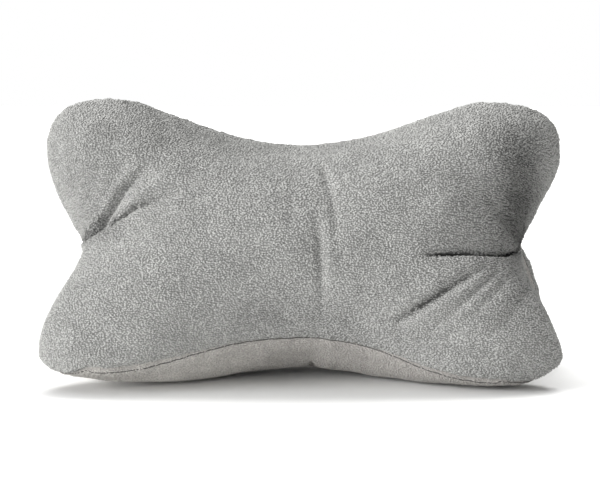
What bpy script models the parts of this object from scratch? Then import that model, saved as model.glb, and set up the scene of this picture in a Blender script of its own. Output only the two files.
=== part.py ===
"""Reading bone: a stuffed cushion for the neck or for a book, sewn from three bone-shaped panels.

The three seams run the whole length, each along the ridge of a lobe at both ends, and meet in the
middle of each end. The cushion stands on its two lower seams with the third on top, so it has three
lobes at each end, a round waist between them and a deep notch where the panels meet.

Run with: blender --background --python part.py. Units are metres, +Z is up, X is the length, and -Y
is the front. Angles about the length are in degrees, 0 at the top and growing towards the front.
"""

import math

import bmesh
import bpy
import numpy as np
from mathutils import Matrix

# ---- Driving dimensions, metres and degrees ------------------------------------------------------

AXIS_HEIGHT = 0.1106     # middle of the waist above the surface the cushion stands on
END_LIFT = 0.0125        # how much higher the middle of each end sits
WAIST_RADIUS = 0.1042    # from the axis to a seam at the waist
NOTCH_REACH = 0.208      # from mid length to the point where all three seams meet
NOTCH_BLUNTNESS = 2.2    # how bluntly the panels turn in to that point; 2 is an ellipse
END_EDGE_LEVEL = 0.34    # where the end edge turns towards the notch, as a share of the tip's radius

# The seams at the waist. The lower two spread under the cushion's weight.
SEAM_ANGLE = {"top": 0.0, "front": 129.2, "back": 230.8}

# One row for each end of each seam. crest is the widest point of the lobe, tip its furthest point
# along the length. reach is along X from mid length, radius is from the axis. turn is how far the
# lobe has rolled from its place at the waist. inset is how soon the end edge leaves the notch.
LOBE_COLUMNS = (
    "seam", "end", "crest_reach", "crest_radius", "tip_reach", "tip_radius", "turn", "inset",
)
LOBES = (
    ("top", "left", 0.182, 0.151, 0.242, 0.100, 0.0, 0.39),
    ("top", "right", 0.178, 0.148, 0.245, 0.102, 0.0, 0.29),
    ("front", "left", 0.185, 0.157, 0.239, 0.131, -4.8, -0.50),
    ("front", "right", 0.179, 0.150, 0.242, 0.120, 3.2, -0.10),
    ("back", "left", 0.185, 0.155, 0.238, 0.128, 2.0, -0.20),
    ("back", "right", 0.179, 0.148, 0.237, 0.118, -1.0, 0.72),
)

# The run of each seam: how much of the way to the crest it leaves the waist level, where it reaches
# the crest level, how full the outer corner of its lobe is, and how long the tip stays square.
RUN_COLUMNS = ("seam", "waist_level", "crest_level", "corner", "tip_square")
RUNS = (
    ("top", 0.44, 0.74, 0.68, 0.25),
    ("front", 0.49, 0.59, 0.47, 0.15),
    ("back", 0.49, 0.59, 0.47, 0.15),
)

# The middle line of each panel: its distance from the axis at the waist, how full it stays on its way
# to the notch (2 is an ellipse, more is fuller), and how soon the panel falls away from its seams.
PANEL_COLUMNS = ("panel", "from_seam", "to_seam", "waist_radius", "fullness", "fall")
PANELS = (
    ("front", "top", "front", 0.115, 3.2, 1.40),
    ("base", "front", "back", 0.106, 3.2, 1.60),
    ("rear", "back", "top", 0.115, 3.2, 1.40),
)
DRAW_IN = 1.6            # the same fall, for the reach along the length

BELLY = 0.017            # how far the base panel bulges beside each foot
BELLY_REACH = 0.112      # from mid length to the middle of that bulge
BELLY_WIDTH = 0.055

GROOVE = 0.0018          # how deep the stitching sinks below the fabric beside it
SETTLE = 0.004           # softness of the turn from a lobe's side to its flat foot

# Creases, each from start over middle to end, as (reach along X, angle). depth is at the middle of
# the crease, negative for a ridge. width is from its bottom to where it has nearly gone.
CREASE_COLUMNS = ("start", "middle", "end", "depth", "width")
CREASES = (
    # front panel: left end, right end, middle
    ((-0.204, 70), (-0.158, 60), (-0.104, 50), 0.0060, 0.015),
    ((-0.192, 64), (-0.166, 49), (-0.134, 36), 0.0034, 0.013),
    ((-0.184, 62), (-0.152, 54), (-0.116, 44), -0.0024, 0.012),
    ((0.204, 84), (0.165, 81), (0.112, 83), 0.0064, 0.014),
    ((0.176, 87), (0.138, 98), (0.090, 111), 0.0030, 0.014),
    ((0.200, 66), (0.188, 54), (0.160, 44), 0.0034, 0.014),
    ((0.018, 32), (0.029, 56), (0.034, 82), 0.0014, 0.014),
    ((0.017, 70), (0.021, 92), (0.020, 116), 0.0012, 0.014),
    # base panel: the pinch at the waist, left end, right end
    ((0.011, 128), (0.011, 154), (0.008, 182), 0.0026, 0.014),
    ((-0.204, 180), (-0.164, 176), (-0.118, 184), 0.0060, 0.016),
    ((0.204, 180), (0.160, 185), (0.112, 177), 0.0060, 0.016),
    # rear panel: left end, right end
    ((-0.204, 292), (-0.160, 298), (-0.108, 309), 0.0060, 0.015),
    ((-0.186, 288), (-0.150, 274), (-0.108, 258), 0.0030, 0.014),
    ((0.204, 288), (0.162, 283), (0.110, 286), 0.0062, 0.015),
    ((0.196, 298), (0.180, 311), (0.148, 322), 0.0032, 0.014),
)
CREASE_SPAN = (0.12, 0.94)   # the share of a half sine wave that a crease's depth follows
CREASE_FADE = 0.7            # under 1, a crease keeps its depth for longer
CREASE_SHARPNESS = 1.7       # how many times the bell curve's own width goes into a crease's width

# Mesh steps: across a panel, and from the waist to the notch.
PANEL_STEPS = 20
PANEL_BUNCHING = 0.6     # how much closer together the steps are beside a seam than evenly, 0 to 1
END_STEPS = 36
CREST_STEP = 17
TIP_STEP = 24

FABRIC = (0.36, 0.36, 0.345, 1.0)
FABRIC_ROUGHNESS = 0.95


# ---- The seams and the panels between them -------------------------------------------------------

def table_row(columns, rows, *key):
    """The row that starts with key, as a dictionary."""
    for row in rows:
        if row[:len(key)] == key:
            return dict(zip(columns, row))
    raise KeyError(key)


def curve(start, start_handle, end_handle, end, steps):
    """Points on a cubic Bezier curve, with both ends."""
    t = np.linspace(0, 1, steps + 1)[:, None]
    points = np.array([start, start_handle, end_handle, end])
    weights = np.hstack([(1 - t) ** 3, 3 * (1 - t) ** 2 * t, 3 * (1 - t) * t**2, t**3])
    return weights @ points


def seam_line(seam, end):
    """(reach, radius) of a seam at each step, from the waist over its lobe to the notch."""
    lobe = table_row(LOBE_COLUMNS, LOBES, seam, end)
    run = table_row(RUN_COLUMNS, RUNS, seam)
    waist = (0.0, WAIST_RADIUS)
    crest = (lobe["crest_reach"], lobe["crest_radius"])
    tip = (lobe["tip_reach"], lobe["tip_radius"])
    notch = (NOTCH_REACH, 0.0)
    flank = curve(
        waist,
        (run["waist_level"] * crest[0], waist[1]),
        (run["crest_level"] * crest[0], crest[1]),
        crest,
        CREST_STEP,
    )
    corner = curve(
        crest,
        (crest[0] + run["corner"] * (tip[0] - crest[0]), crest[1]),
        (tip[0], tip[1] + run["corner"] * (crest[1] - tip[1])),
        tip,
        TIP_STEP - CREST_STEP,
    )
    end_edge = curve(
        tip,
        (tip[0], (1 - run["tip_square"]) * tip[1]),
        (notch[0] + lobe["inset"] * (tip[0] - notch[0]), END_EDGE_LEVEL * tip[1]),
        notch,
        END_STEPS - TIP_STEP,
    )
    return np.vstack([flank, corner[1:], end_edge[1:]])


def middle_line(panel):
    """(reach, radius) of a panel's middle at each step, a blunt dome from the waist to the notch."""
    turn = np.linspace(0, math.pi / 2, END_STEPS + 1)
    return np.column_stack([
        NOTCH_REACH * np.sin(turn) ** (2.0 / NOTCH_BLUNTNESS),
        panel["waist_radius"] * np.cos(turn) ** (2.0 / panel["fullness"]),
    ])


def lobe_turn(seam, end):
    """How far a seam has rolled at each step, growing from the waist to the lobe's crest."""
    share = (np.arange(END_STEPS + 1) / CREST_STEP).clip(0, 1)
    return table_row(LOBE_COLUMNS, LOBES, seam, end)["turn"] * share**2 * (3 - 2 * share)


def panel_share(step):
    """How far across its panel a step lies, 0 to 1, bunched up beside the seams."""
    turn = 2 * math.pi * step / PANEL_STEPS
    return (turn - PANEL_BUNCHING * math.sin(turn)) / (2 * math.pi)


def end_points(end):
    """One end of the cushion: points by their step from the waist and their step around it."""
    side = -1.0 if end == "left" else 1.0
    lines = {seam: seam_line(seam, end) for seam in SEAM_ANGLE}
    turns = {seam: lobe_turn(seam, end) for seam in SEAM_ANGLE}
    columns = []
    for row in PANELS:
        panel = dict(zip(PANEL_COLUMNS, row))
        middle = middle_line(panel)
        first = SEAM_ANGLE[panel["from_seam"]] + turns[panel["from_seam"]]
        last = (SEAM_ANGLE[panel["to_seam"]] or 360.0) + turns[panel["to_seam"]]
        for step in range(PANEL_STEPS):
            across = panel_share(step)
            near = panel["from_seam"] if across < 0.5 else panel["to_seam"]
            away = math.sin(math.pi * min(across, 1.0 - across))
            fall = np.array([away**DRAW_IN, away ** panel["fall"]])
            reach, radius = (lines[near] * (1 - fall) + middle * fall).T
            if panel["panel"] == "base":
                # 1 at its highest, between a seam and the middle line, and 0 on both of them
                bulge = 1.5 * math.sqrt(3) * away**2 * math.sqrt(1 - away**2)
                over_foot = np.exp(-(((reach - BELLY_REACH) / BELLY_WIDTH) ** 2))
                radius = radius + BELLY * over_foot * bulge
            angle = np.radians(first + (last - first) * across)
            lift = END_LIFT * (1 - radius / WAIST_RADIUS).clip(0, 1) ** 2
            columns.append(np.column_stack([
                side * reach,
                -radius * np.sin(angle),
                AXIS_HEIGHT + lift + radius * np.cos(angle),
            ]))
    return np.stack(columns, axis=1)


# ---- Creases and feet ----------------------------------------------------------------------------

def crease_depths(points):
    """How far the creases push each point of the surface in, measured on the surface laid flat."""
    arc = math.radians(1) * WAIST_RADIUS
    angles = np.degrees(np.arctan2(-points[:, 1], points[:, 2] - AXIS_HEIGHT)) % 360
    here = np.column_stack([points[:, 0], angles * arc])
    depths = np.zeros(len(points))
    for row in CREASES:
        crease = dict(zip(CREASE_COLUMNS, row))
        line = [np.array([x, a * arc]) for x, a in (crease["start"], crease["middle"], crease["end"])]
        nearest = np.full(len(points), np.inf)
        along = np.zeros(len(points))
        for number, (a, b) in enumerate(zip(line, line[1:])):
            share = ((here - a) @ (b - a) / ((b - a) @ (b - a))).clip(0, 1)
            distance = np.linalg.norm(here - a - share[:, None] * (b - a), axis=1)
            along = np.where(distance < nearest, (number + share) / 2, along)
            nearest = np.minimum(distance, nearest)
        wave = CREASE_SPAN[0] + (CREASE_SPAN[1] - CREASE_SPAN[0]) * along
        strength = np.sin(math.pi * wave) ** CREASE_FADE
        bell = np.exp(-((CREASE_SHARPNESS * nearest / crease["width"]) ** 2))
        depths += crease["depth"] * strength * bell
    return depths


def settled(height):
    """A height after the cushion has settled on its feet, never under the surface it stands on."""
    if height <= -SETTLE:
        return 0.0
    if height >= SETTLE:
        return height
    return (height + SETTLE) ** 2 / (4 * SETTLE)


# ---- The solid -----------------------------------------------------------------------------------

def build_shell(bm):
    """A sphere with its poles on the length, each vertex moved to its place on the cushion.

    Returns the vertices that lie on a seam.
    """
    around, along = len(PANELS) * PANEL_STEPS, 2 * END_STEPS
    bmesh.ops.create_uvsphere(
        bm,
        u_segments=around,
        v_segments=along,
        radius=1.0,
        matrix=Matrix.Rotation(math.pi / 2, 4, "Y"),
    )
    ends = {"left": end_points("left"), "right": end_points("right")}
    seam_vertices = []
    for vertex in bm.verts:
        x, y, z = vertex.co
        step = round(math.asin(max(-1.0, min(1.0, x))) / math.pi * along)
        column = round(math.atan2(-y, z) / (2 * math.pi) * around) % around
        if abs(step) == END_STEPS:
            column = 0
        if column % PANEL_STEPS == 0:
            seam_vertices.append(vertex)
        vertex.co = ends["left" if step < 0 else "right"][abs(step), column]
    bmesh.ops.recalc_face_normals(bm, faces=bm.faces)
    bm.normal_update()
    bm.verts.index_update()
    return seam_vertices


def shape_surface(bm, seam_vertices):
    """Sinks the stitching and the creases into the surface, then settles the cushion on its feet."""
    depths = crease_depths(np.array([vertex.co for vertex in bm.verts]))
    for vertex in seam_vertices:
        depths[vertex.index] += GROOVE
    moves = [vertex.normal * -depth for vertex, depth in zip(bm.verts, depths)]
    for vertex, move in zip(bm.verts, moves):
        vertex.co += move
        vertex.co.z = settled(vertex.co.z)


def centre(bm):
    """Puts the middle of the bounding box over the origin, with the feet at height zero."""
    for axis in (0, 1):
        values = [vertex.co[axis] for vertex in bm.verts]
        middle = (min(values) + max(values)) / 2
        for vertex in bm.verts:
            vertex.co[axis] -= middle


def fabric():
    material = bpy.data.materials.new("grey_terry")
    material.use_nodes = True
    surface = material.node_tree.nodes["Principled BSDF"]
    surface.inputs["Base Color"].default_value = FABRIC
    surface.inputs["Roughness"].default_value = FABRIC_ROUGHNESS
    material.diffuse_color = FABRIC
    return material


def build_pillow():
    bm = bmesh.new()
    seam_vertices = build_shell(bm)
    shape_surface(bm, seam_vertices)
    centre(bm)
    mesh = bpy.data.meshes.new("pillow")
    bm.to_mesh(mesh)
    bm.free()
    mesh.shade_smooth()
    mesh.materials.append(fabric())
    pillow = bpy.data.objects.new("pillow", mesh)
    bpy.context.scene.collection.objects.link(pillow)
    return pillow


def main():
    for item in list(bpy.data.objects):
        bpy.data.objects.remove(item)
    build_pillow()


main()
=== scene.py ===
"""Dresses the bone-shaped reading pillow: its stuffed cover, its plush pile and a plain studio.

Laid out as an add-on and run as a script. Units are metres, +Z is up, X is the length, and -Y is the
front, which the camera sees. The cushion's own axis runs along X through its waist. Angles about that
axis are in degrees, 0 at the top and growing towards the front.
"""

import math

import bpy
import numpy as np
from bpy.props import FloatProperty, FloatVectorProperty, IntProperty, PointerProperty, StringProperty
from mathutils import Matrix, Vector


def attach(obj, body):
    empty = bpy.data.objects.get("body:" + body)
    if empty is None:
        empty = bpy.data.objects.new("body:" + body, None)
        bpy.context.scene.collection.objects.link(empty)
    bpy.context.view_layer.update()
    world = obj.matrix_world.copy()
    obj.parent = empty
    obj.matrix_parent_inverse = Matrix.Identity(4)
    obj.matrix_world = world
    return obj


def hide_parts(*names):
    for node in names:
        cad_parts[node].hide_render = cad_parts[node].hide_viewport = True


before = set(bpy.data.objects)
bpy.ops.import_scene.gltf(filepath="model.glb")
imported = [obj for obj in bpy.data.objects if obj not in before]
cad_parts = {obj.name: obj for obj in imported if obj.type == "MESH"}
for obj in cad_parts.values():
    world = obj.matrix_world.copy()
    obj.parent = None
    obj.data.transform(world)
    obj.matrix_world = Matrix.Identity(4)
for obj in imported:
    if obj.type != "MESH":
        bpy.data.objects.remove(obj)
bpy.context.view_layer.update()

bl_info = {
    "name": "Bone-shaped reading pillow",
    "version": (1, 0, 0),
    "blender": (4, 5, 0),
    "location": "3D View > Sidebar > Reading pillow",
    "description": "Dresses the packed solid of a stuffed plush reading pillow",
    "category": "Object",
}

NODE = "pillow"
BODY = "root"

# ---- The sewing pattern on the form ----

PATTERN_MIDDLE = (0.0015, -0.0022)   # where the box's middle lies on the pattern, along X and Y
AXIS_HEIGHT = 0.1106                 # the cushion's axis at its waist
END_LIFT = 0.0125                    # how much higher it ends, in the notch of each end
WAIST_RADIUS = 0.1042                # from the axis to a seam at the waist
LOBE_PIVOT = 0.05                    # radius about which each seam turns round its lobe into the notch
SETTLING_ROUNDS = 4                  # how often a place that depends on itself is worked out again

# Where each seam runs: its angle at the waist, how far it has rolled at the left and right lobes, the
# reach of those lobes, and how far it rolls on over the lobes' tips.
SEAM_COLUMNS = (
    "angle", "turn_left", "turn_right", "reach_left", "reach_right", "curl_left", "curl_right",
)
SEAMS = {
    "top": (0.0, 0.0, 0.0, 0.182, 0.178, 0.0, 0.0),
    "front": (129.2, -4.8, 3.2, 0.185, 0.179, 9.0, 5.0),
    "back": (230.8, 2.0, -1.0, 0.185, 0.179, -5.0, -4.0),
}
CURL_LENGTH = 0.040                  # from a lobe's reach to where its seam has rolled over the tip
ROLL_LEVELS = (0.49, 0.59)           # inner control values of the curve that its roll follows
ROLL_STEPS = 33                      # how finely that curve is worked out

PANELS = ("front", "base", "rear")   # in turn from the top seam
TOP_REACH = 60                       # the base panel stays further than this angle from the top
COURSE = 0.0022                      # between rows of tufts, drawn coarser than the real 1.5 mm to show
COURSE_WANDER = 0.45                 # how far the rows wander, in rows, because the cloth is pulled
WANDER = (0.014, 23)                 # how long each such swing is, and which random layout it has
SLOPE_STEP = 0.125                   # how far apart, in rows, places are compared to find their slope
PILE_PARTS = (-0.09, 0.09)           # where each panel's pile is parted along X

# The unevenness of the stuffed cloth, as (how long its swells are, how far beside a seam it goes on or
# keeps off, which random layout): small puckers at the stitches, gathers round the lobes, and lumps.
PUCKERS = (0.012, 0.010, 5)
GATHERS = (0.024, 0.016, 3)
LUMPS = (0.060, 0.030, 11)
WAVE_COUNT = 12                      # how many straight waves one such unevenness is the sum of
WAVE_PACES = (0.6, 1.5)              # the slowest and the quickest of them, against their usual pace
GATHERED_REACH = 0.15                # from here outwards the seams are fully gathered
GATHERS_ONSET = 6                    # how suddenly the gathers set in before that
WAIST_REACH = 0.11                   # how far along X the firmer filling of the waist goes on
WAIST_TOP_SHARE = 0.5                # how much of that filling there is at the top, against the bottom
FOOT_HEIGHT = 0.0006                 # how high the cloth of the feet lies, on its pressed pile
FOOT_FLATTENING = 0.02               # how high up the feet are let down to there

# Folds, each from start over middle to end, as (reach along X, angle). depth is at the middle of the
# fold, negative for a ridge. upper is how far the side with the smaller angle takes to rise again, and
# lower the other side. pinch is how firmly the fold is pressed shut, where 1 just shuts its middle; it
# also sets how dark the painted shade along the fold's bottom is.
FOLD_START = 0.08                    # how much of its rise a fold has at its start, and by where it has
FOLD_RISE = 0.2                      # its whole depth, both in shares of its length
FOLD_FADE = 2.2                      # how late it fades towards its end
FOLD_STEPS = 13                      # how many points its line is drawn through
PINCH_DEPTH = 0.0030                 # how much deeper a fold is along its middle where it is shut
PINCH_WIDTH = 0.0023                 # how far from there the pile is pressed together and painted darker as crease shade
FOLD_COLUMNS = ("start", "middle", "end", "depth", "upper", "lower", "pinch")
FOLDS = (
    # front panel, left end: the main valley with the lobe that swells below it, the valley above with
    # a ridge on each side, and a faint one above that
    ((-0.208, 70), (-0.162, 58), (-0.104, 49), 0.0064, 0.0044, 0.0032, 0.7),
    ((-0.208, 69), (-0.162, 56), (-0.100, 47), 0.0058, 0.0120, 0.0036, 0),
    ((-0.196, 75), (-0.158, 65), (-0.106, 56), -0.0026, 0.0060, 0.0120, 0),
    ((-0.200, 67), (-0.166, 47), (-0.134, 34), 0.0080, 0.0048, 0.0044, 0.25),
    ((-0.184, 63), (-0.154, 52), (-0.120, 43), -0.0040, 0.0050, 0.0050, 0),
    ((-0.200, 58), (-0.172, 43), (-0.146, 33), -0.0022, 0.0045, 0.0045, 0),
    ((-0.194, 55), (-0.170, 40), (-0.150, 31), 0.0024, 0.0060, 0.0040, 0),
    # front panel, right end: the deep level one that the upper lobe hangs over, those below it and
    # those on the upper lobe
    ((0.208, 84), (0.166, 81), (0.106, 83), 0.0082, 0.0044, 0.0030, 3.0),
    ((0.206, 84), (0.166, 80), (0.110, 81), 0.0064, 0.0220, 0.0030, 0),
    ((0.196, 91), (0.165, 87), (0.130, 88), -0.0022, 0.0050, 0.0080, 0),
    ((0.090, 113), (0.136, 98), (0.176, 87), 0.0064, 0.0046, 0.0036, 0.7),
    ((0.104, 113), (0.142, 101), (0.180, 91), -0.0022, 0.0040, 0.0040, 0),
    ((0.182, 91), (0.150, 103), (0.114, 117), 0.0034, 0.0038, 0.0034, 0),
    ((0.196, 93), (0.160, 107), (0.130, 119), 0.0028, 0.0045, 0.0038, 0),
    ((0.214, 99), (0.190, 110), (0.164, 118), 0.0020, 0.0050, 0.0040, 0),
    ((0.203, 67), (0.188, 53), (0.160, 43), 0.0048, 0.0070, 0.0040, 0),
    ((0.198, 73), (0.178, 61), (0.150, 53), -0.0022, 0.0060, 0.0080, 0),
    ((0.214, 36), (0.200, 33), (0.184, 27), 0.0024, 0.0050, 0.0040, 0),
    # front panel, middle: two pulls across the waist
    ((0.018, 32), (0.029, 54), (0.034, 84), 0.0030, 0.0040, 0.0040, 0),
    ((0.016, 66), (0.021, 94), (0.020, 118), 0.0032, 0.0040, 0.0040, 0),
    ((0.026, 60), (0.030, 84), (0.028, 106), -0.0016, 0.0050, 0.0050, 0),
    ((-0.009, 52), (-0.006, 65), (-0.012, 76), 0.0010, 0.0040, 0.0040, 0),
    # base panel: the pinch at the waist and the crease into each end
    ((0.012, 172), (0.011, 162), (0.011, 151), 0.0026, 0.0034, 0.0034, 0.4),
    ((-0.204, 180), (-0.164, 176), (-0.118, 184), 0.0060, 0.0090, 0.0050, 0),
    ((0.204, 180), (0.160, 185), (0.112, 177), 0.0060, 0.0050, 0.0090, 0),
    # rear panel: the same pulls into each end, settled otherwise
    ((-0.206, 291), (-0.160, 299), (-0.108, 309), 0.0085, 0.0032, 0.0120, 0.8),
    ((-0.196, 286), (-0.158, 291), (-0.112, 299), -0.0024, 0.0110, 0.0060, 0),
    ((-0.190, 288), (-0.150, 274), (-0.106, 257), 0.0055, 0.0045, 0.0050, 0),
    ((0.206, 289), (0.162, 282), (0.110, 286), 0.0090, 0.0030, 0.0130, 0.9),
    ((0.196, 283), (0.160, 275), (0.118, 278), -0.0022, 0.0090, 0.0050, 0),
    ((0.200, 297), (0.180, 311), (0.148, 322), 0.0060, 0.0050, 0.0045, 0),
    ((-0.020, 260), (-0.026, 284), (-0.024, 308), 0.0028, 0.0040, 0.0040, 0),
)

# Patches of painted light and shade: darker where the cushion turns away from the light, as at the
# right upper lobe's tip, and lighter where the floor's light falls, as on the base panel's underside.
# Each gives its middle as (reach along X, angle), how far it spreads along X and around the cushion in
# metres, and how much lighter it is painted, or darker below 0.
PAINTED_SHADING_COLUMNS = ("reach", "angle", "along", "around", "shade")
PAINTED_SHADING_PATCHES = (
    (0.230, 60, 0.045, 0.060, -0.60),
    (0.200, 30, 0.030, 0.040, -0.20),
    (-0.215, 62, 0.030, 0.050, -0.20),
    (-0.182, 66, 0.032, 0.016, -0.14),
    (-0.150, 92, 0.050, 0.040, 0.10),
    (-0.135, 20, 0.024, 0.018, -0.16),
    (0.000, 12, 0.110, 0.030, -0.08),
    (-0.190, 30, 0.030, 0.030, -0.08),
    (0.000, 114, 0.060, 0.030, -0.10),
    (0.070, 62, 0.045, 0.030, 0.10),
    (-0.110, 152, 0.085, 0.055, 0.55),
    (0.120, 150, 0.060, 0.040, -0.10),
    (-0.222, 280, 0.040, 0.060, -0.26),
    (0.120, 300, 0.050, 0.040, 0.08),
)


def bell(distance, width):
    """1 at no distance, about a third at width, and nearly gone at twice the width."""
    return np.exp(-((distance / width) ** 2))


def seam_angles(reach):
    """The angle of each seam at each reach along X, as {seam: array}."""
    share = np.linspace(0, 1, ROLL_STEPS)
    run = 3 * (1 - share) * share * ((1 - share) * ROLL_LEVELS[0] + share * ROLL_LEVELS[1]) + share**3
    angles = {}
    for seam, row in SEAMS.items():
        line = dict(zip(SEAM_COLUMNS, row))
        lobe = np.where(reach < 0, line["reach_left"], line["reach_right"])
        turn = np.where(reach < 0, line["turn_left"], line["turn_right"])
        roll = np.interp(np.abs(reach) / lobe, run, share)
        curl = np.where(reach < 0, line["curl_left"], line["curl_right"])
        over = ((np.abs(reach) - lobe) / CURL_LENGTH).clip(0, 1)
        angles[seam] = line["angle"] + turn * roll**2 * (3 - 2 * roll) + curl * over**2 * (3 - 2 * over)
    return angles


def end_lift(radius):
    """How much higher the cushion's axis lies for points at this radius."""
    return END_LIFT * (1 - radius / WAIST_RADIUS).clip(0, 1) ** 2


def off_pattern(reach, angle, radius):
    """The points at a reach, an angle in degrees and a radius about the cushion's own axis."""
    forward = radius * np.sin(np.radians(angle))
    up = AXIS_HEIGHT + end_lift(radius) + radius * np.cos(np.radians(angle))
    return np.column_stack([reach - PATTERN_MIDDLE[0], -forward - PATTERN_MIDDLE[1], up])


def on_pattern(points):
    """(reach, angle, radius) of each point about the cushion's own axis."""
    reach = points[:, 0] + PATTERN_MIDDLE[0]
    forward = -(points[:, 1] + PATTERN_MIDDLE[1])
    lift = np.zeros(len(points))
    for _ in range(SETTLING_ROUNDS):
        radius = np.hypot(forward, points[:, 2] - AXIS_HEIGHT - lift)
        lift = end_lift(radius)
    angle = np.degrees(np.arctan2(forward, points[:, 2] - AXIS_HEIGHT - lift)) % 360
    return reach, angle, radius


def seam_distance(points):
    """How far each point is from its nearest seam, across the seam, in metres."""
    reach, angle, radius = on_pattern(points)
    nearest = np.full(len(points), np.inf)
    for line in seam_angles(reach).values():
        apart = (angle - line + 180) % 360 - 180
        nearest = np.minimum(nearest, np.abs(np.radians(apart)) * radius)
    return nearest


def panel_numbers(points):
    """The number of the panel that each point lies on, in the order of PANELS."""
    reach, angle, _ = on_pattern(points)
    lines = seam_angles(reach)
    after_front = ((angle - lines["front"] + 180) % 360 - 180 > 0) & (angle > TOP_REACH)
    before_back = ((angle - lines["back"] + 180) % 360 - 180 < 0) & (angle < 360 - TOP_REACH)
    return np.where(after_front & before_back, 1, np.where(angle < 180, 0, 2))


def courses(points):
    """Which row of the knitting each point lies on, counted from its panel's middle line, with the
    fraction of a row. The rows run along the cushion."""
    reach, angle, radius = on_pattern(points)
    lines = seam_angles(reach)
    middles = np.array([
        (lines["top"] + lines["front"]) / 2,
        (lines["front"] + lines["back"]) / 2,
        (lines["back"] + lines["top"] + 360) / 2,
    ])
    middle = middles[panel_numbers(points), np.arange(len(points))]
    straight = np.radians((angle - middle + 180) % 360 - 180) * radius / COURSE
    return straight + COURSE_WANDER * waves(points, *WANDER)


def course_slope(points, out):
    """How the course changes along the cloth at each point, as a vector per metre."""
    step = COURSE * SLOPE_STEP
    slope = np.column_stack([
        (courses(points + side) - courses(points - side)) / (2 * step) for side in np.eye(3) * step
    ])
    return slope - out * (slope * out).sum(axis=1, keepdims=True)


def fold_depths(points):
    """(how far the folds push each point in, how far they press its pile shut from 0 to 1, which also
    sets the painted crease shade).
    """
    reach, angle, _ = on_pattern(points)
    arc = math.radians(1) * WAIST_RADIUS
    here = np.column_stack([reach, angle * arc])
    depths = np.zeros(len(points))
    pressed = np.zeros(len(points))
    for row in FOLDS:
        fold = dict(zip(FOLD_COLUMNS, row))
        ends = [np.array([x, a * arc]) for x, a in (fold["start"], fold["middle"], fold["end"])]
        share = np.linspace(0, 1, FOLD_STEPS)[:, None]
        line = (1 - share) ** 2 * ends[0] + share**2 * ends[2]
        line += 2 * share * (1 - share) * (2 * ends[1] - (ends[0] + ends[2]) / 2)
        nearest = np.full(len(points), np.inf)
        along = np.zeros(len(points))
        side = np.zeros(len(points))
        for number, (a, b) in enumerate(zip(line, line[1:])):
            step = b - a
            part = ((here - a) @ step / (step @ step)).clip(0, 1)
            off = here - a - part[:, None] * step
            distance = np.linalg.norm(off, axis=1)
            closer = distance < nearest
            nearest = np.where(closer, distance, nearest)
            along = np.where(closer, (number + part) / (len(line) - 1), along)
            side = np.where(closer, off[:, 1], side)
        width = np.where(side < 0, fold["upper"], fold["lower"])
        risen = ((along + FOLD_START) / (FOLD_RISE + FOLD_START)).clip(0, 1)
        strength = risen * (1 - along**FOLD_FADE)
        depths += fold["depth"] * strength * bell(nearest, width)
        shut = fold["pinch"] * strength * bell(nearest, PINCH_WIDTH)
        pressed = np.maximum(pressed, shut.clip(0, 1))
    return depths + PINCH_DEPTH * pressed, pressed


def painted_shading(points):
    """How much lighter, or darker below 0, each point is painted by the patches of painted light and
    shade.
    """
    reach, angle, _ = on_pattern(points)
    shades = np.zeros(len(points))
    for row in PAINTED_SHADING_PATCHES:
        patch = dict(zip(PAINTED_SHADING_COLUMNS, row))
        along = (reach - patch["reach"]) / patch["along"]
        around = np.radians((angle - patch["angle"] + 180) % 360 - 180) * WAIST_RADIUS / patch["around"]
        shades += patch["shade"] * np.exp(-(along**2) - around**2)
    return shades


def waves(points, length, seed):
    """Smooth unevenness of a surface, between about -1 and 1, whose swells are about length apart."""
    drawn = np.random.default_rng(seed)
    total = np.zeros(len(points))
    for _ in range(WAVE_COUNT):
        heading = drawn.normal(size=3)
        heading /= np.linalg.norm(heading)
        pace = 2 * math.pi / length * drawn.uniform(*WAVE_PACES)
        total += np.sin(points @ heading * pace + drawn.uniform(0, 2 * math.pi))
    return total / math.sqrt(WAVE_COUNT)


# ---- Materials ----

# The nap's soft patches are as wide as the fingers that stroked it. The specks are single locks of
# fibre tips, which lie along the rows. A real lock is under a millimetre wide and is drawn a little
# larger, so that it shows.
PATCH_LENGTH = 0.030
SPECK_LENGTH = 0.0024
SPECK_WIDTH = 0.0011
SPECK_SHARE = 0.62                   # how much of the mottling the specks make up

# The cushion's greys, each from dark to light with those of untouched cloth in the middle: between the
# tufts and on them, and the same on the base panel, which is a little warmer, partly as painted bounce
# light from the floor. The cloth between the tufts is painted darker than the tufts, as the shade
# between them, and the darkest and lightest greys carry the painted light and shade of the patches.
GROUND = ("#363635", "#727271", "#8E8E8C", "#9C9C99")
PILE = ("#4C4C4B", "#8E8E8C", "#A8A8A6", "#BCBCB9")
SHORN_GROUND = ("#6A6865", "#8A8784", "#A09D99", "#D0CDC8")
SHORN_PILE = ("#6C6A67", "#928F8C", "#A8A5A1", "#DAD7D2")
UNTOUCHED = (0.36, 0.64)             # where those two lie between the darkest and the lightest
PAINTED_CREASE_SHADE = "#2A2A28"                  # painted shade at the bottom of a fold that is pinched shut
GROUND_SHEEN = 0.1                   # less than the tufts' own, because they shade the cloth
PILE_SHEEN = 0.3
GROUND_ROW_SHADE = 0.14                    # painted shade: how much darker the cloth is painted between its rows
SHORN_ROW_SHADE = 0.05                     # the same on the base panel, whose pile is shorter

# The numbers of a Mix node's sockets, because their names repeat.
MIX_FACTOR = 0
MIX_VALUES = (2, 3)
MIX_COLOURS = (6, 7)
MIX_COLOUR_OUT = 2


def linear(colour):
    """A colour written as an sRGB hex value, turned to linear."""
    values = [int(colour[start:start + 2], 16) / 255 for start in (1, 3, 5)]
    return [v / 12.92 if v <= 0.04045 else ((v + 0.055) / 1.055) ** 2.4 for v in values] + [1.0]


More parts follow.
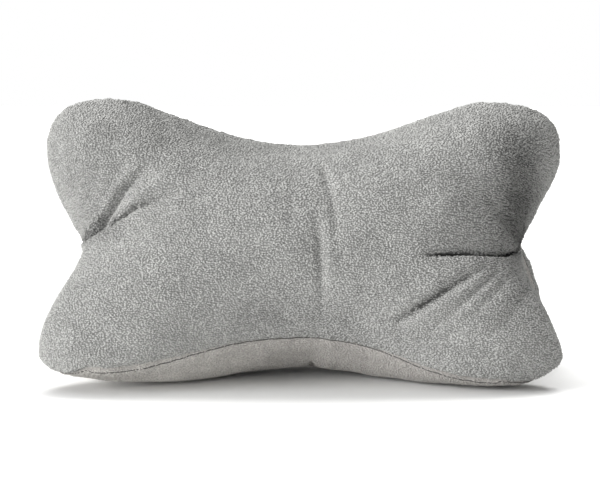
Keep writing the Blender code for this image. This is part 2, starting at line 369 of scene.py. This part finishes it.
def add_node(tree, kind, links=(), **settings):
    """Adds a node, gives it its settings and socket values, and links each (socket, node, output)."""
    node = tree.nodes.new(kind)
    for name, value in settings.items():
        if hasattr(node, name):
            setattr(node, name, value)
        else:
            node.inputs[name.replace("_", " ").title()].default_value = value
    for socket, source, output in links:
        tree.links.new(source.outputs[output], node.inputs[socket])
    return node


def new_material(name):
    """(material, its node tree, its Principled BSDF)."""
    material = bpy.data.materials.new(name)
    material.use_nodes = True
    return material, material.node_tree, material.node_tree.nodes["Principled BSDF"]


def plush_material(name, colours, sheen, pressed=None, painted_row_shade=0.0):
    """Sheared polyester plush, knitted with its pile in rows. Fibre ends stand up, so it has no gloss
    and glows a little at grazing angles. It is mottled lighter and darker at random, and is painted
    lighter or darker in soft patches as painted light and shade. colours are four greys, from dark to
    light. pressed is the colour of the painted shade deep in a closed fold, and
    painted_row_shade how much darker the cloth is painted between its rows, as the shade there."""
    material, tree, surface = new_material(name)
    place = add_node(tree, "ShaderNodeTexCoord")
    patches = add_node(
        tree, "ShaderNodeTexNoise", [("Vector", place, "Object")],
        scale=1 / PATCH_LENGTH, detail=3.0, roughness=0.6,
    )
    rows = add_node(
        tree, "ShaderNodeMapping", [("Vector", place, "Object")],
        scale=(1 / SPECK_LENGTH, 1 / SPECK_WIDTH, 1 / SPECK_WIDTH),
    )
    specks = add_node(
        tree, "ShaderNodeTexNoise", [("Vector", rows, "Vector")], scale=1.0, detail=2.0, roughness=0.6,
    )
    both = add_node(
        tree, "ShaderNodeMix", [(MIX_VALUES[0], patches, "Fac"), (MIX_VALUES[1], specks, "Fac")],
        data_type="FLOAT",
    )
    both.inputs[MIX_FACTOR].default_value = SPECK_SHARE
    # Painted light and shade: the patches of PAINTED_SHADING_PATCHES, with the tufts' random mottle,
    # are read here.
    nap = add_node(tree, "ShaderNodeAttribute", attribute_name="nap")
    shade = add_node(tree, "ShaderNodeMath", [(0, both, 0), (1, nap, "Fac")], operation="ADD")
    # Painted row shade: the cloth is darkened between its rows, as the shade in the gaps there.
    if painted_row_shade:
        course = add_node(tree, "ShaderNodeAttribute", attribute_name="course")
        row = add_node(tree, "ShaderNodeMath", [(0, course, "Fac")], operation="COSINE")
        shade = add_node(tree, "ShaderNodeMath", [(0, row, 0), (2, shade, 0)], operation="MULTIPLY_ADD")
        shade.inputs[1].default_value = painted_row_shade
    ramp = add_node(tree, "ShaderNodeValToRGB", [("Fac", shade, 0)])
    for position, colour in zip(UNTOUCHED, colours[1:3]):
        ramp.color_ramp.elements.new(position).color = linear(colour)
    ramp.color_ramp.elements[0].color = linear(colours[0])
    ramp.color_ramp.elements[-1].color = linear(colours[-1])
    finished = ramp.outputs["Color"]
    # Painted crease shade: the bottom of a pinched fold is mixed towards a dark colour.
    if pressed:
        shut = add_node(tree, "ShaderNodeAttribute", attribute_name="pressed")
        crease_shade_mix = add_node(
            tree, "ShaderNodeMix", [(MIX_FACTOR, shut, "Fac"), (MIX_COLOURS[0], ramp, "Color")],
            data_type="RGBA",
        )
        crease_shade_mix.inputs[MIX_COLOURS[1]].default_value = linear(pressed)
        finished = crease_shade_mix.outputs[MIX_COLOUR_OUT]
    tree.links.new(finished, surface.inputs["Base Color"])
    surface.inputs["Roughness"].default_value = 0.92
    surface.inputs["Specular IOR Level"].default_value = 0.2
    surface.inputs["Sheen Weight"].default_value = sheen
    surface.inputs["Sheen Roughness"].default_value = 0.5
    surface.inputs["Sheen Tint"].default_value = linear("#E8E8E4")
    return material


def seam_shade_thread_material(name, dark, light, stitch):
    """Twisted polyester thread, drawn tight into the cloth. Its dark colour is painted shade, standing
    in for the shade of its seam's groove, and its twist makes each stitch lighter in the middle than at
    its ends."""
    material, tree, surface = new_material(name)
    place = add_node(tree, "ShaderNodeTexCoord")
    twist = add_node(
        tree, "ShaderNodeTexNoise", [("Vector", place, "Object")], scale=1 / stitch, detail=2.0,
    )
    ramp = add_node(tree, "ShaderNodeValToRGB", [("Fac", twist, "Fac")])
    ramp.color_ramp.elements[0].color = linear(dark)
    ramp.color_ramp.elements[1].color = linear(light)
    tree.links.new(ramp.outputs["Color"], surface.inputs["Base Color"])
    surface.inputs["Roughness"].default_value = 0.7
    surface.inputs["Specular IOR Level"].default_value = 0.3
    return material


# ---- The stuffed cover ----

HELD_WIDTH = 0.03                    # how far beside a seam its stitches still hold the cloth back
LEAST_HOLD = 0.02                    # a weaker hold than this is none
CLOTH_FRAMES = 20                    # how long the filling is left to push


class ReadingPillowCover(bpy.types.PropertyGroup):
    """Sizes of the stuffed cover."""

    mesh_size: FloatProperty(
        name="Mesh size", description="Spacing of the cover's mesh before it is subdivided",
        default=0.0040, unit="LENGTH",
    )
    slack: FloatProperty(
        name="Slack", description="How far the panels start inside their stuffed shape",
        default=0.003, unit="LENGTH",
    )
    pressure: FloatProperty(
        name="Filling pressure", description="Outward pressure of the filling in the simulation",
        default=4.0,
    )
    swell: FloatProperty(
        name="Swell", description="The furthest that the filling may push a point of the cover",
        default=0.005, unit="LENGTH",
    )
    seam_depth: FloatProperty(
        name="Seam depth", description="How deep the stitching sinks below the fabric beside it",
        default=0.0020, unit="LENGTH",
    )
    waist_fill: FloatProperty(
        name="Waist filling", description="How much further out the filling holds the waist's bottom",
        default=0.0030, unit="LENGTH",
    )
    seam_width: FloatProperty(
        name="Seam width", description="From the stitching to where its groove has nearly gone",
        default=0.0035, unit="LENGTH",
    )
    pucker: FloatProperty(
        name="Pucker", description="Height of the small puckers along the stitching",
        default=0.0004, unit="LENGTH",
    )
    gathers: FloatProperty(
        name="Gathers", description="Height of the bumps where a seam is eased round a lobe",
        default=0.0007, unit="LENGTH",
    )
    lumps: FloatProperty(
        name="Lumps", description="Height of the soft lumps that loose filling leaves",
        default=0.0006, unit="LENGTH",
    )
    pile_room: FloatProperty(
        name="Room for the pile", description="How far the cloth lies below the tips of its pile",
        default=0.0005, unit="LENGTH",
    )


def active_only(piece):
    """Makes one object the selected and active one."""
    bpy.ops.object.select_all(action="DESELECT")
    piece.select_set(True)
    bpy.context.view_layer.objects.active = piece


def positions(mesh):
    """The mesh's vertex positions as an array."""
    values = np.empty(len(mesh.vertices) * 3)
    mesh.vertices.foreach_get("co", values)
    return values.reshape(-1, 3)


def set_positions(mesh, values):
    """Moves the mesh's vertices to the positions in an array."""
    mesh.vertices.foreach_set("co", np.ascontiguousarray(values, dtype=np.float64).ravel())
    mesh.update()


def normals(mesh):
    """The mesh's vertex normals as an array."""
    values = np.empty(len(mesh.vertices) * 3)
    mesh.vertex_normals.foreach_get("vector", values)
    return values.reshape(-1, 3)


def set_attribute(mesh, name, values):
    """Stores one number for each vertex, which the mesh's material reads."""
    mesh.attributes.new(name, "FLOAT", "POINT").data.foreach_set("value", values)


def apply_modifier(piece, modifier):
    """Makes what a modifier does a lasting part of the piece's mesh."""
    active_only(piece)
    bpy.ops.object.modifier_apply(modifier=modifier.name)


def copy_of_solid():
    """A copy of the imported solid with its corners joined, as a new object."""
    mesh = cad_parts[NODE].data.copy()
    mesh.name = "stuffed_cover"
    mesh.materials.clear()
    cover = bpy.data.objects.new("stuffed_cover", mesh)
    bpy.context.scene.collection.objects.link(cover)
    active_only(cover)
    bpy.ops.object.mode_set(mode="EDIT")
    bpy.ops.mesh.select_all(action="SELECT")
    bpy.ops.mesh.remove_doubles(threshold=1e-5)
    bpy.ops.mesh.normals_make_consistent(inside=False)
    bpy.ops.object.mode_set(mode="OBJECT")
    return cover


def remesh(cover, size):
    """An even mesh over the solid."""
    even = cover.modifiers.new("even mesh", "REMESH")
    even.mode = "VOXEL"
    even.voxel_size = size
    even.use_smooth_shade = True
    apply_modifier(cover, even)


def stuff(cover, sizes):
    """Lets the filling push the panels out between their seams, which stay where they are sewn."""
    mesh = cover.data
    full = positions(mesh)
    away = (seam_distance(full) / HELD_WIDTH).clip(0, 1)
    easy = away * away * (3 - 2 * away)
    start = full - normals(mesh) * (sizes.slack * easy)[:, None]
    set_positions(mesh, start)
    sewn = cover.vertex_groups.new(name="sewn")
    for number, share in enumerate(1 - easy):
        if share > LEAST_HOLD:
            sewn.add([number], float(share), "REPLACE")
    filling = cover.modifiers.new("filling", "CLOTH")
    cloth = filling.settings
    cloth.quality = 4
    cloth.mass = 0.3
    cloth.tension_stiffness = 12
    cloth.compression_stiffness = 12
    cloth.shear_stiffness = 4
    cloth.bending_stiffness = 0.4
    cloth.use_pressure = True
    cloth.uniform_pressure_force = sizes.pressure
    cloth.effector_weights.gravity = 0.0
    cloth.vertex_group_mass = sewn.name
    filling.point_cache.frame_start = 1
    filling.point_cache.frame_end = CLOTH_FRAMES
    for number in range(1, CLOTH_FRAMES + 1):
        bpy.context.scene.frame_set(number)
    apply_modifier(cover, filling)
    bpy.context.scene.frame_set(1)
    move = positions(mesh) - start
    length = np.linalg.norm(move, axis=1, keepdims=True).clip(1e-9, None)
    set_positions(mesh, start + move / length * (sizes.swell * np.tanh(length / sizes.swell)))
    cover.vertex_groups.clear()


def subdivide(cover):
    """One smooth subdivision of the cover."""
    finer = cover.modifiers.new("finer mesh", "SUBSURF")
    finer.levels = 1
    finer.render_levels = 1
    apply_modifier(cover, finer)


def carve(cover, sizes):
    """Sinks the seams and folds into the cover, with the lumps of its filling."""
    mesh = cover.data
    here = positions(mesh)
    out = normals(mesh)
    beside = seam_distance(here)
    depth, pressed = fold_depths(here)
    depth += sizes.seam_depth * bell(beside, sizes.seam_width)
    length, spread, seed = PUCKERS
    depth += sizes.pucker * waves(here, length, seed) * bell(beside, spread)
    length, spread, seed = GATHERS
    gathered = (np.abs(here[:, 0]) / GATHERED_REACH).clip(0, 1) ** GATHERS_ONSET
    depth += sizes.gathers * gathered * waves(here, length, seed) * bell(beside, spread)
    length, clear, seed = LUMPS
    depth += sizes.lumps * waves(here, length, seed) * (beside / clear).clip(0, 1)
    upward = np.cos(np.radians(on_pattern(here)[1]))
    share = (1 + WAIST_TOP_SHARE) / 2 - (1 - WAIST_TOP_SHARE) / 2 * upward
    depth -= sizes.waist_fill * share * bell(here[:, 0], WAIST_REACH)
    here = here - out * (depth + sizes.pile_room)[:, None]
    lifted = here[:, 2].min() - FOOT_HEIGHT
    here[:, 2] -= lifted * bell(here[:, 2], FOOT_FLATTENING)
    here[:, 2] = np.maximum(here[:, 2], FOOT_HEIGHT)
    set_positions(mesh, here)
    # The pinch of the folds, which also sets how dark the painted crease shade is.
    set_attribute(mesh, "pressed", pressed)
    # Painted light and shade: patches such as the darker tip of the right upper lobe and the lighter
    # base underside.
    set_attribute(mesh, "nap", painted_shading(here))
    set_attribute(mesh, "course", courses(here) * 2 * math.pi)


class READING_PILLOW_OT_cover(bpy.types.Operator):
    """Stuffs the cover: one closed piece sewn from three bone-shaped panels"""

    bl_idname = "reading_pillow.cover"
    bl_label = "Stuffed cover"

    def execute(self, context):
        sizes = context.scene.reading_pillow_cover
        cover = copy_of_solid()
        remesh(cover, sizes.mesh_size)
        stuff(cover, sizes)
        subdivide(cover)
        carve(cover, sizes)
        mesh = cover.data
        for material in (
            plush_material("plush_ground_front", GROUND, GROUND_SHEEN, PAINTED_CREASE_SHADE, GROUND_ROW_SHADE),
            plush_material("plush_ground_base", SHORN_GROUND, GROUND_SHEEN, PAINTED_CREASE_SHADE, SHORN_ROW_SHADE),
            plush_material("plush_ground_rear", GROUND, GROUND_SHEEN, PAINTED_CREASE_SHADE, GROUND_ROW_SHADE),
        ):
            mesh.materials.append(material)
        middles = np.empty(len(mesh.polygons) * 3)
        mesh.polygons.foreach_get("center", middles)
        mesh.polygons.foreach_set("material_index", panel_numbers(middles.reshape(-1, 3)))
        mesh.shade_smooth()
        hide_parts(NODE)
        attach(cover, BODY)
        return {"FINISHED"}


# ---- The seams ----

WAIST_RAYS = 150                     # how many places of a seam are found from the waist to a lobe
NOTCH_RAYS = 100                     # and how many as it turns round the lobe into the notch
NOTCH_TURN = 150                     # how far round it turns there, in degrees
STITCH_END = 0.8                     # how thick a stitch is at its ends, against its middle
THREAD_HEIGHT = 0.0002               # how far the thread stays above the floor


class ReadingPillowSeams(bpy.types.PropertyGroup):
    """Sizes of the thread line that closes each seam, coloured dark as painted shade in its groove."""

    thickness: FloatProperty(
        name="Thickness", description="Thickness of the line of stitches",
        default=0.0012, unit="LENGTH",
    )
    stitch: FloatProperty(
        name="Stitch", description="Length of one stitch", default=0.0030, unit="LENGTH",
    )
    clearance: FloatProperty(
        name="Clearance", description="How far the pile keeps away from the thread's middle",
        default=0.0011, unit="LENGTH",
    )


def seam_path(cover, seam, spacing):
    """Points on the cover along one seam, spacing apart, from one end's notch to the other's."""
    row = dict(zip(SEAM_COLUMNS, SEAMS[seam]))
    points = []
    for side, lobe in ((-1, row["reach_left"]), (1, row["reach_right"])):
        span = np.linspace(0, lobe, WAIST_RAYS)
        turn = np.radians(np.linspace(0, NOTCH_TURN, NOTCH_RAYS)[1:])
        starts = [(reach, 0.0) for reach in span] + [(lobe, LOBE_PIVOT)] * len(turn)
        ends = [(reach, LOBE_PIVOT * 2) for reach in span]
        ends += [(lobe + LOBE_PIVOT * math.sin(t), LOBE_PIVOT * (1 + math.cos(t))) for t in turn]
        half = []
        for inner, outer in zip(starts, ends):
            reach, radius = side * np.array([inner[0], outer[0]]), np.array([inner[1], outer[1]])
            struck = reach[1:]
            for _ in range(SETTLING_ROUNDS):
                a, b = off_pattern(reach, seam_angles(struck)[seam], radius)
                hit, place, _, _ = cover.ray_cast(Vector(a), Vector(b - a))
                if not hit:
                    break
                struck = np.array([place.x + PATTERN_MIDDLE[0]])
            if hit:
                half.append(place)
        points = half[::-1] + points if side < 0 else points + half[1:]
    points = np.array(points)
    passed = np.concatenate([[0], np.cumsum(np.linalg.norm(np.diff(points, axis=0), axis=1))])
    even = np.linspace(0, passed[-1], int(passed[-1] / spacing))
    return np.column_stack([np.interp(even, passed, points[:, axis]) for axis in range(3)])


class READING_PILLOW_OT_seams(bpy.types.Operator):
    """Lays the line of thread that closes each of the three seams, coloured dark as painted shade in
    their grooves
    """

    bl_idname = "reading_pillow.seams"
    bl_label = "Seams"

    def execute(self, context):
        sizes = context.scene.reading_pillow_seams
        cover = bpy.data.objects["stuffed_cover"]
        # The thread is coloured dark as painted shade, standing in for the shade in each seam's groove.
        thread = seam_shade_thread_material("polyester_sewing_thread", "#454442", "#5A5957", sizes.stitch)
        for seam in SEAMS:
            path = seam_path(cover, seam, sizes.stitch / 2)
            line = bpy.data.curves.new(f"{seam}_seam", "CURVE")
            line.dimensions = "3D"
            line.bevel_depth = sizes.thickness / 2
            line.bevel_resolution = 1
            line.use_fill_caps = True
            spline = line.splines.new("POLY")
            spline.points.add(len(path) - 1)
            spline.points.foreach_set("co", np.column_stack([path, np.ones(len(path))]).ravel())
            spline.points.foreach_set("radius", np.where(np.arange(len(path)) % 2, 1.0, STITCH_END))
            piece = bpy.data.objects.new(f"{seam}_seam", line)
            context.scene.collection.objects.link(piece)
            active_only(piece)
            bpy.ops.object.convert(target="MESH")
            piece = context.object
            places = positions(piece.data)
            places[:, 2] = places[:, 2].clip(THREAD_HEIGHT, None)
            set_positions(piece.data, places)
            piece.data.materials.append(thread)
            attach(piece, BODY)
        return {"FINISHED"}


# ---- The pile ----

TRIES = 6.0                          # how many random places are tried for each that fits
ROW_SCATTER = 0.22                   # how far tufts lie off their row, in rows
LEAST_SLOPE = 0.25                   # the least slope of the row number, squared, against its usual one
PANEL_ROWS = 1000                    # more than a panel's rows, so that each row's number is its own
TUFT_SIZES = (0.6, 1.4)              # the smallest and largest tufts, against their usual size
TUFT_LEAN = 0.35                     # how far a tuft's tip leans over, against its height
DARKEST_LIE = 3                      # where the mottle's dark tail is cut off, in mottles
PRESSED_BARE = (0.2, 0.7)            # how far shut a fold is where the first and last tufts are gone


class ReadingPillowPile(bpy.types.PropertyGroup):
    """Sizes and layout of the plush pile."""

    spacing: FloatProperty(
        name="Spacing", description="The least distance between two tufts of a row",
        default=0.0018, unit="LENGTH",
    )
    height: FloatProperty(
        name="Height", description="How far a tuft stands above the cloth on the front and the rear",
        default=0.0009, unit="LENGTH",
    )
    base_height: FloatProperty(
        name="Base height", description="The same on the base panel, which is shorn closer",
        default=0.0005, unit="LENGTH",
    )
    length: FloatProperty(
        name="Tuft length", description="Length of a tuft along the cloth",
        default=0.0032, unit="LENGTH",
    )
    width: FloatProperty(
        name="Tuft width", description="Width of a tuft across its length",
        default=0.0020, unit="LENGTH",
    )
    scatter: FloatProperty(
        name="Scatter", description="How far tufts turn away from their rows",
        default=math.radians(16), subtype="ANGLE",
    )
    mottle: FloatProperty(
        name="Mottle", description="How much darker than its neighbours a tuft may look, by its lie",
        default=0.06,
    )
    seed: IntProperty(name="Seed", description="Which of the random layouts is used", default=7)


def tuft_shape():
    """(corners, triangles) of one tuft of unit size: a low closed bud with four sides."""
    bpy.ops.object.select_all(action="DESELECT")
    bpy.ops.mesh.primitive_uv_sphere_add(segments=4, ring_count=2, radius=0.5)
    bud = bpy.context.object
    bpy.ops.object.mode_set(mode="EDIT")
    bpy.ops.mesh.select_all(action="SELECT")
    bpy.ops.mesh.quads_convert_to_tris()
    bpy.ops.mesh.normals_make_consistent(inside=False)
    bpy.ops.object.mode_set(mode="OBJECT")
    corners = positions(bud.data)
    triangles = np.array([list(face.vertices) for face in bud.data.polygons])
    mesh = bud.data
    bpy.data.objects.remove(bud)
    bpy.data.meshes.remove(mesh)
    return corners, triangles


def spread_points(cover, spacing, drawn):
    """Points on the rows of the cover's knitting, as many as fit with spacing along a row, with their
    normals, how the row number changes there and how far the pile is pressed shut."""
    mesh = cover.data
    mesh.calc_loop_triangles()
    corners = np.empty(len(mesh.loop_triangles) * 3, dtype=np.int64)
    mesh.loop_triangles.foreach_get("vertices", corners)
    corners = corners.reshape(-1, 3)
    places = positions(mesh)[corners]
    outward = normals(mesh)[corners]
    first, second = places[:, 1] - places[:, 0], places[:, 2] - places[:, 0]
    areas = np.linalg.norm(np.cross(first, second), axis=1) / 2
    pressed = np.empty(len(mesh.vertices))
    mesh.attributes["pressed"].data.foreach_get("value", pressed)
    count = int(TRIES * areas.sum() / (spacing * COURSE))
    chosen = drawn.choice(len(areas), size=count, p=areas / areas.sum())
    u, v = drawn.random((2, count))
    over = u + v > 1
    u, v = np.where(over, 1 - u, u), np.where(over, 1 - v, v)
    mix = np.column_stack([1 - u - v, u, v])
    points = np.einsum("nk,nkj->nj", mix, places[chosen])
    out = np.einsum("nk,nkj->nj", mix, outward[chosen])
    out /= np.linalg.norm(out, axis=1, keepdims=True)
    shut = (mix * pressed[corners][chosen]).sum(axis=1)
    slope = course_slope(points, out)
    steep = (slope * slope).sum(axis=1, keepdims=True).clip(LEAST_SLOPE / COURSE**2, None)
    course = courses(points)
    rows = np.round(course)
    points = points - slope / steep * (course - rows + drawn.normal(0, ROW_SCATTER, count))[:, None]
    rows = rows.astype(int) + PANEL_ROWS * panel_numbers(points)
    cells = np.floor(points / spacing).astype(int)
    taken = {}
    kept = []
    for number, (row, cell, point) in enumerate(zip(rows.tolist(), cells.tolist(), points.tolist())):
        near = (
            other
            for dx in (-1, 0, 1) for dy in (-1, 0, 1) for dz in (-1, 0, 1)
            for other in taken.get((row, cell[0] + dx, cell[1] + dy, cell[2] + dz), ())
        )
        if all(math.dist(point, other) >= spacing for other in near):
            taken.setdefault((row, *cell), []).append(point)
            kept.append(number)
    return points[kept], out[kept], slope[kept], shut[kept]


def tuft_frames(out, slope, scatter, drawn):
    """Two directions along the cloth for each tuft: roughly along its row of knitting, and across."""
    first = np.cross(slope, out)
    first /= np.linalg.norm(first, axis=1, keepdims=True).clip(1e-9, None)
    turn = drawn.normal(0, scatter, len(out))[:, None]
    along = first * np.cos(turn) + np.cross(out, first) * np.sin(turn)
    return along, np.cross(out, along)


def build_pile(name, points, out, slope, height, sizes, drawn, material):
    """One mesh of tufts that stand on points."""
    corners, triangles = tuft_shape()
    along, across = tuft_frames(out, slope, sizes.scatter, drawn)
    grown = drawn.uniform(*TUFT_SIZES, (len(points), 3))
    lean = drawn.normal(0, TUFT_LEAN, (len(points), 2)) * height
    x = corners[:, 0] * sizes.length
    y = corners[:, 1] * sizes.width
    z = corners[:, 2] * 2 * height
    shift = corners[:, 2].clip(0, None) * 2
    mesh_points = (
        points[:, None]
        + along[:, None] * (x * grown[:, :1] + shift * lean[:, :1])[..., None]
        + across[:, None] * (y * grown[:, 1:2] + shift * lean[:, 1:2])[..., None]
        + out[:, None] * (z * grown[:, 2:])[..., None]
    ).reshape(-1, 3)
    mesh_points[:, 2] = mesh_points[:, 2].clip(0.0, None)
    faces = (triangles[None] + np.arange(len(points))[:, None, None] * len(corners)).reshape(-1, 3)
    mesh = bpy.data.meshes.new(name)
    mesh.vertices.add(len(mesh_points))
    mesh.vertices.foreach_set("co", mesh_points.ravel())
    mesh.loops.add(faces.size)
    mesh.loops.foreach_set("vertex_index", faces.ravel())
    mesh.polygons.add(len(faces))
    mesh.polygons.foreach_set("loop_start", np.arange(len(faces)) * 3)
    mesh.update(calc_edges=True)
    mesh.validate()
    mesh.shade_smooth()
    lie = sizes.mottle * (1 - drawn.exponential(1.0, len(points)).clip(0, DARKEST_LIE))
    # The painted light and shade of the patches, with each tuft's random mottle added.
    set_attribute(mesh, "nap", np.repeat(painted_shading(points) + lie, len(corners)))
    mesh.materials.append(material)
    pile = bpy.data.objects.new(name, mesh)
    bpy.context.scene.collection.objects.link(pile)
    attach(pile, BODY)


class READING_PILLOW_OT_pile(bpy.types.Operator):
    """Covers each panel with the tufts of its plush pile"""

    bl_idname = "reading_pillow.pile"
    bl_label = "Plush pile"

    def execute(self, context):
        sizes = context.scene.reading_pillow_pile
        cover = bpy.data.objects["stuffed_cover"]
        drawn = np.random.default_rng(sizes.seed)
        points, out, slope, shut = spread_points(cover, sizes.spacing, drawn)
        clear = context.scene.reading_pillow_seams.clearance
        stands = shut < drawn.uniform(*PRESSED_BARE, len(shut))
        stands &= seam_distance(points) > clear
        points, out, slope = points[stands], out[stands], slope[stands]
        panels = panel_numbers(points)
        pile = plush_material("plush_pile", PILE, PILE_SHEEN)
        base_pile = plush_material("plush_pile_shorn", SHORN_PILE, PILE_SHEEN)
        for number, panel in enumerate(PANELS):
            for part, place in enumerate(("left", "middle", "right")):
                chosen = (panels == number) & (np.digitize(points[:, 0], PILE_PARTS) == part)
                build_pile(
                    f"{panel}_pile_{place}", points[chosen], out[chosen], slope[chosen],
                    sizes.base_height if panel == "base" else sizes.height, sizes, drawn,
                    base_pile if panel == "base" else pile,
                )
        return {"FINISHED"}


# ---- The stage ----

FLOOR_SIZE = 12                      # wide enough that no view shows its edge
LIGHT_DISTANCE = 2                   # where the suns stand, which doesn't change their light


class ReadingPillowStage(bpy.types.PropertyGroup):
    """The camera and the lights."""

    lens: FloatProperty(
        name="Lens", description="Focal length of the camera", default=135.0, unit="CAMERA",
    )
    distance: FloatProperty(
        name="Distance", description="From the camera to the cushion", default=2.126, unit="LENGTH",
    )
    azimuth: FloatProperty(
        name="Azimuth", description="How far the camera stands round to the right",
        default=math.radians(1.5), subtype="ANGLE",
    )
    elevation: FloatProperty(
        name="Elevation", description="How far the camera looks down",
        default=math.radians(6.0), subtype="ANGLE",
    )
    target: FloatVectorProperty(
        name="Target", description="The point in the middle of the picture",
        default=(-0.0025, 0.0, 0.1187), subtype="XYZ", unit="LENGTH",
    )
    key_strength: FloatProperty(
        name="Key light", description="Strength of the low light from the front left", default=4.6,
    )
    side_strength: FloatProperty(
        name="Side light", description="Strength of the high light from the left", default=0.9,
    )
    fill_strength: FloatProperty(
        name="Fill light", description="Strength of the low light from the front", default=1.35,
    )
    back_strength: FloatProperty(
        name="Back lights", description="Strength of each high light from behind", default=1.8,
    )
    world_strength: FloatProperty(
        name="Surroundings", description="How much light the white studio gives", default=0.15,
    )
    floor_colour: StringProperty(
        name="Floor", description="The floor's colour as an sRGB hex value", default="#F4F4F3",
    )


# How far round to the right of the front each light stands and how high, in degrees, how wide it looks
# from the cushion, and the setting that holds its strength.
LIGHT_COLUMNS = ("azimuth", "elevation", "width", "strength")
LIGHTS = {
    "key_light": (-65, 10, 40, "key_strength"),
    "side_light": (-90, 60, 40, "side_strength"),
    "fill_light": (-15, 2, 50, "fill_strength"),
    "back_light_left": (-160, 60, 30, "back_strength"),
    "back_light_right": (150, 60, 30, "back_strength"),
}


def direction(azimuth, elevation):
    """The unit vector towards something that far round to the right of the front and that high."""
    across = math.cos(elevation)
    return Vector((math.sin(azimuth) * across, -math.cos(azimuth) * across, math.sin(elevation)))


def aim(thing, target):
    """Turns a camera or light to look at a point."""
    thing.rotation_mode = "QUATERNION"
    thing.rotation_quaternion = (Vector(target) - thing.location).to_track_quat("-Z", "Y")


class READING_PILLOW_OT_stage(bpy.types.Operator):
    """Adds the pale floor, the soft studio light and the camera"""

    bl_idname = "reading_pillow.stage"
    bl_label = "Studio"

    def execute(self, context):
        settings = context.scene.reading_pillow_stage
        bpy.ops.object.select_all(action="DESELECT")
        bpy.ops.mesh.primitive_plane_add(size=FLOOR_SIZE, location=(0, 0, 0))
        floor = bpy.context.object
        floor.name = "studio_floor"
        paper, _, surface = new_material("matt_backdrop_paper")
        surface.inputs["Base Color"].default_value = linear(settings.floor_colour)
        surface.inputs["Roughness"].default_value = 0.9
        surface.inputs["Specular IOR Level"].default_value = 0.1
        floor.data.materials.append(paper)

        world = bpy.data.worlds.new("white_studio")
        world.use_nodes = True
        tree = world.node_tree
        backdrop = tree.nodes["Background"]
        backdrop.inputs["Color"].default_value = linear("#FFFFFF")
        backdrop.inputs["Strength"].default_value = 1.0
        glow = add_node(tree, "ShaderNodeBackground", strength=settings.world_strength)
        glow.inputs["Color"].default_value = linear("#FFFFFF")
        seen = add_node(tree, "ShaderNodeLightPath")
        studio = add_node(
            tree, "ShaderNodeMixShader", [(0, seen, "Is Camera Ray"), (1, glow, 0), (2, backdrop, 0)],
        )
        tree.links.new(studio.outputs[0], tree.nodes["World Output"].inputs["Surface"])
        context.scene.world = world
        context.scene.view_settings.view_transform = "Standard"

        for name, row in LIGHTS.items():
            light = dict(zip(LIGHT_COLUMNS, row))
            towards = direction(math.radians(light["azimuth"]), math.radians(light["elevation"]))
            bpy.ops.object.light_add(type="SUN", location=towards * LIGHT_DISTANCE)
            lamp = bpy.context.object
            lamp.name = name
            lamp.data.energy = getattr(settings, light["strength"])
            lamp.data.angle = math.radians(light["width"])
            aim(lamp, (0, 0, 0))

        target = Vector(settings.target)
        back = direction(settings.azimuth, settings.elevation)
        bpy.ops.object.camera_add(location=target + back * settings.distance)
        camera = bpy.context.object
        camera.name = "camera"
        camera.data.lens = settings.lens
        aim(camera, target)
        context.scene.camera = camera
        return {"FINISHED"}


# ---- The add-on ----

# Each group's settings and operator, by where the scene keeps the settings.
GROUPS = {
    "reading_pillow_cover": (ReadingPillowCover, READING_PILLOW_OT_cover),
    "reading_pillow_seams": (ReadingPillowSeams, READING_PILLOW_OT_seams),
    "reading_pillow_pile": (ReadingPillowPile, READING_PILLOW_OT_pile),
    "reading_pillow_stage": (ReadingPillowStage, READING_PILLOW_OT_stage),
}


class READING_PILLOW_PT_pieces(bpy.types.Panel):
    """Lists the pieces and their sizes"""

    bl_idname = "READING_PILLOW_PT_pieces"
    bl_label = "Reading pillow"
    bl_space_type = "VIEW_3D"
    bl_region_type = "UI"
    bl_category = "Reading pillow"

    def draw(self, context):
        for place, (settings, operator) in GROUPS.items():
            box = self.layout.box()
            box.operator(operator.bl_idname)
            for name in settings.__annotations__:
                box.prop(getattr(context.scene, place), name)


def register():
    """Adds the settings, the operators and the panel to Blender."""
    for place, (settings, operator) in GROUPS.items():
        bpy.utils.register_class(settings)
        bpy.utils.register_class(operator)
        setattr(bpy.types.Scene, place, PointerProperty(type=settings))
    bpy.utils.register_class(READING_PILLOW_PT_pieces)


def unregister():
    """Takes them out again."""
    bpy.utils.unregister_class(READING_PILLOW_PT_pieces)
    for place, (settings, operator) in reversed(GROUPS.items()):
        delattr(bpy.types.Scene, place)
        bpy.utils.unregister_class(operator)
        bpy.utils.unregister_class(settings)


def main():
    """Makes the pieces and the stage."""
    register()
    bpy.ops.reading_pillow.cover()
    bpy.ops.reading_pillow.seams()
    bpy.ops.reading_pillow.pile()
    bpy.ops.reading_pillow.stage()


if __name__ == "__main__":
    main()
